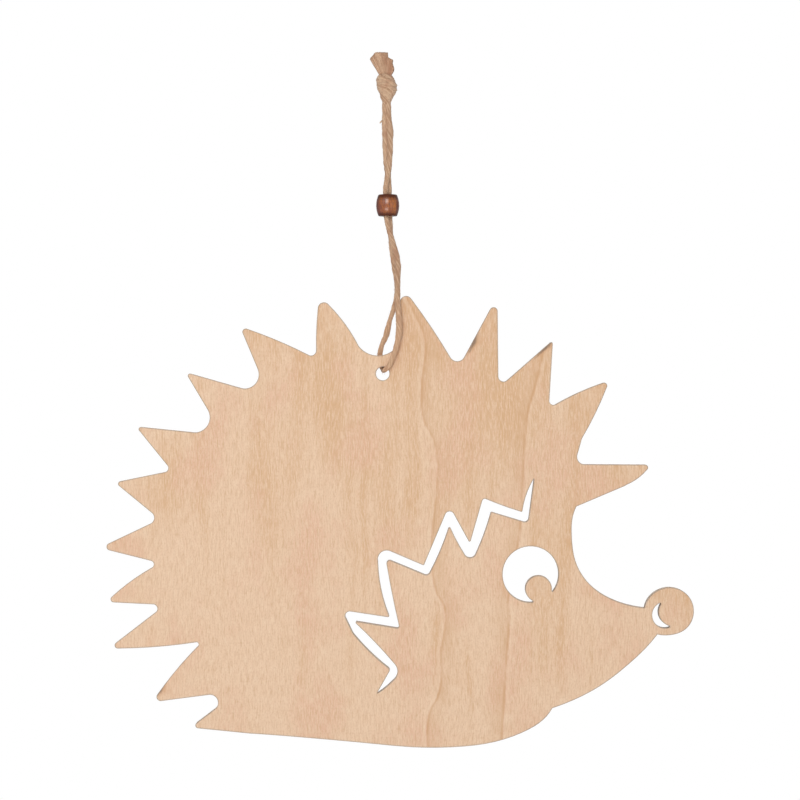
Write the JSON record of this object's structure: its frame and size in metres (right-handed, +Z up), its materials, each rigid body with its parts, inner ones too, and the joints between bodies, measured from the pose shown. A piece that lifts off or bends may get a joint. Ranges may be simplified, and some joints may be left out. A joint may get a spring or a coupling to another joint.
{
  "type": "hanging hedgehog ornament",
  "caption": "Flat hedgehog silhouette of thin plywood with spined back, pierced eye and zigzag, hung from a hole by a knotted jute cord with a wooden bead.",
  "frame": {"origin": "hanging point, in the middle of the doubled cord right under the knot", "axes": "+Z up along the cord, +X towards the nose along the panel's width, front face towards -Y"},
  "size_m": [0.2001, 0.0086, 0.2369],
  "materials": {
    "veneer": "pale sanded veneer, unfinished",
    "core": "cut edge of the core ply, browned by the cutter",
    "jute": "two-ply jute twine with loose fibres",
    "bead": "red-brown stain under gloss lacquer"
  },
  "bodies": {
    "cord": {"cord_front_strand": "jute", "cord_back_strand": "jute", "cord_knot": "jute", "frayed_tail_left": "jute", "frayed_tail_right": "jute"},
    "panel": {"front_veneer": "veneer", "core_ply": "core", "back_veneer": "veneer"},
    "bead": {"wooden_bead": "bead"}
  },
  "joints": [
    {"name": "panel_swing", "type": "hinge", "parent": "cord", "child": "panel", "pos_m": [-0.0017, 0, -0.094], "axis": [0, 1, 0], "range_deg": [-40, 40]},
    {"name": "bead_slide", "type": "slide", "parent": "cord", "child": "bead", "axis": [0, 0, 1], "range_m": [0, 0.031]}
  ]
}
